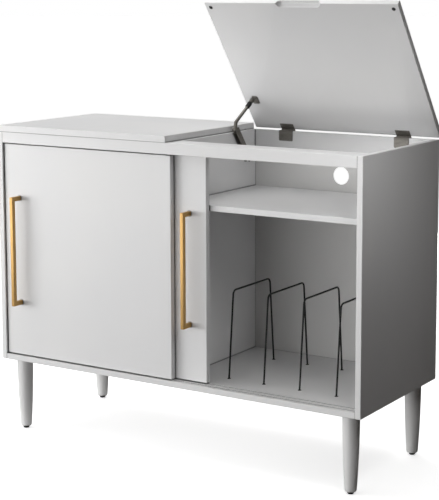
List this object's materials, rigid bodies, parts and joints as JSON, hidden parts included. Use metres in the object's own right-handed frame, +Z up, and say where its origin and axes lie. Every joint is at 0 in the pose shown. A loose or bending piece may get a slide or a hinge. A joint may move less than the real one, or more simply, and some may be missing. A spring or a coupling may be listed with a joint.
{
  "type": "record cabinet",
  "caption": "White record and turntable cabinet on turned legs, with sliding doors, a lift-up lid over the turntable bay and wire record dividers.",
  "frame": {"origin": "on the floor, under the middle of the box round the whole object with its lid open", "axes": "+X to the cabinet's right as seen from the front, +Y towards its back, +Z up"},
  "size_m": [1.168, 0.4984, 1.2501],
  "materials": {
    "white_lacquer": "satin",
    "white_hardboard": "matte",
    "brushed_brass": "satin",
    "dark_steel": "satin",
    "plain_steel": "satin",
    "black_wire": "satin",
    "black_plastic": "matte",
    "white_plastic": "matte",
    "black_rubber": "matte",
    "beech": "matte"
  },
  "bodies": {
    "cabinet": {"side_panel_left": "white_lacquer", "side_panel_right": "white_lacquer", "bottom_panel": "white_lacquer", "centre_partition": "white_lacquer", "front_rail": "white_lacquer", "fixed_top": "white_lacquer", "back_rail": "white_lacquer", "turntable_shelf": "white_lacquer", "adjustable_shelf": "white_lacquer", "legs_front": "white_lacquer", "legs_back": "white_lacquer", "back_sheet_left": "white_hardboard", "back_sheet_right": "white_hardboard", "hinge_left_fixed_leaf": "dark_steel", "hinge_right_fixed_leaf": "dark_steel", "hinge_pins": "dark_steel", "hinge_rail_screws": "dark_steel", "stay_base_plate": "dark_steel", "stay_base_screws": "dark_steel", "leg_hanger_bolts": "plain_steel", "shelf_pins": "plain_steel", "record_divider_1": "black_wire", "record_divider_2": "black_wire", "record_divider_3": "black_wire", "record_divider_4": "black_wire", "leg_glides": "black_plastic", "bottom_track_liners": "white_plastic", "top_track_liners": "white_plastic", "partition_cap": "white_plastic", "loose_tenons": "beech"},
    "front_door": {"front_door": "white_lacquer", "front_door_handle": "brushed_brass", "front_door_handle_screws": "plain_steel", "front_door_guides": "white_plastic"},
    "rear_door": {"rear_door": "white_lacquer", "rear_door_handle": "brushed_brass", "rear_door_handle_screws": "plain_steel", "rear_door_guides": "white_plastic"},
    "lid": {"lid_panel": "white_lacquer", "lid_bumpers": "black_rubber", "hinge_left_lid_leaf": "dark_steel", "hinge_right_lid_leaf": "dark_steel", "hinge_lid_screws": "dark_steel", "stay_bracket": "dark_steel", "stay_bracket_screws": "dark_steel"},
    "stay_lower": {"stay_lower_arm": "dark_steel"},
    "stay_upper": {"stay_upper_arm": "dark_steel", "stay_sleeve": "black_plastic"}
  },
  "joints": [
    {"name": "front_door_slide", "type": "slide", "parent": "cabinet", "child": "front_door", "axis": [1, 0, 0], "range_m": [0, 0.04]},
    {"name": "rear_door_slide", "type": "slide", "parent": "cabinet", "child": "rear_door", "axis": [1, 0, 0], "range_m": [0, 0.458]},
    {"name": "lid_hinge", "type": "hinge", "parent": "cabinet", "child": "lid", "pos_m": [0.292, 0.23802, 0.876], "axis": [1, 0, 0], "range_deg": [0, 53]},
    {"name": "stay_base_pivot", "type": "hinge", "parent": "cabinet", "child": "stay_lower", "pos_m": [0.0165, 0.16942, 0.7968], "axis": [1, 0, 0], "range_deg": [0, 53]},
    {"name": "stay_bracket_pivot", "type": "hinge", "parent": "lid", "child": "stay_upper", "pos_m": [0.0285, 0.16782, 0.96084], "axis": [1, 0, 0], "range_deg": [-53, 0]}
  ],
  "couplings": [
    {"joint": "stay_base_pivot", "follows": "lid_hinge", "ratio": 1},
    {"joint": "stay_bracket_pivot", "follows": "lid_hinge", "ratio": -1}
  ]
}
